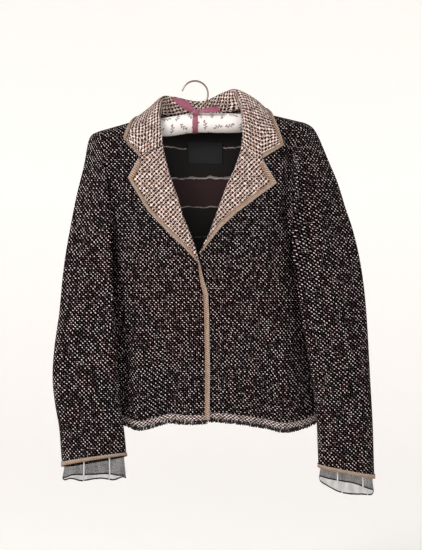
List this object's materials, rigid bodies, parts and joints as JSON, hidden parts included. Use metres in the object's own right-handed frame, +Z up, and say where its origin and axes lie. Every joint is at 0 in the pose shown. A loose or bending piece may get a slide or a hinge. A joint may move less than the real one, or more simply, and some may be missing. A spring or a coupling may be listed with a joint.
{
  "type": "blazer on a padded hanger",
  "caption": "Long-sleeved tweed blazer with braid-edged lapels, sheer cuff frills and a fringed hem, hanging flat on a padded hanger with a ribbon bow.",
  "frame": {"origin": "inner top of the hanger's hook, where it bears on the rail or peg that holds it", "axes": "+Z up, +X towards the wearer's left sleeve, +Y from the fronts towards the back"},
  "size_m": [0.5867, 0.1196, 0.7643],
  "materials": {
    "tweed": "matte basket-weave tweed, brown-black with small cream flecks",
    "pale_tweed": "matte tweed in pinkish-cream yarn with brown-black spots",
    "braid": "camel-tan woven braid, matte",
    "organza": "sheer black organza with a thin rolled hem",
    "yarn_fringe": "frayed brown-black yarn",
    "lining": "smooth black lining cloth with soft grey-white line pairs",
    "label_satin": "blank dark grey satin",
    "printed_cotton": "white cotton with a small plain sprig print, padded",
    "hook_wire": "bent wire, worn bright plating",
    "ribbon": "mauve-magenta satin ribbon"
  },
  "bodies": {
    "root": {"back": "tweed", "front_right": "tweed", "front_left": "tweed", "sleeve_right": "tweed", "sleeve_left": "tweed", "collar": "pale_tweed", "lapel_right": "pale_tweed", "lapel_left": "pale_tweed", "trim_collar": "braid", "trim_lapel_right": "braid", "trim_lapel_left": "braid", "trim_front_right": "braid", "trim_cuff_right": "braid", "trim_cuff_left": "braid", "frill_cuff_right": "organza", "frill_cuff_left": "organza", "fringe_front_right": "yarn_fringe", "fringe_front_left": "yarn_fringe", "fringe_back": "yarn_fringe", "lining_back": "lining", "neck_label": "label_satin", "hanger_bar": "printed_cotton", "hanger_hook": "hook_wire", "ribbon_wrap": "ribbon", "ribbon_knot": "ribbon", "ribbon_bow_right": "ribbon", "ribbon_bow_left": "ribbon"}
  },
  "joints": []
}
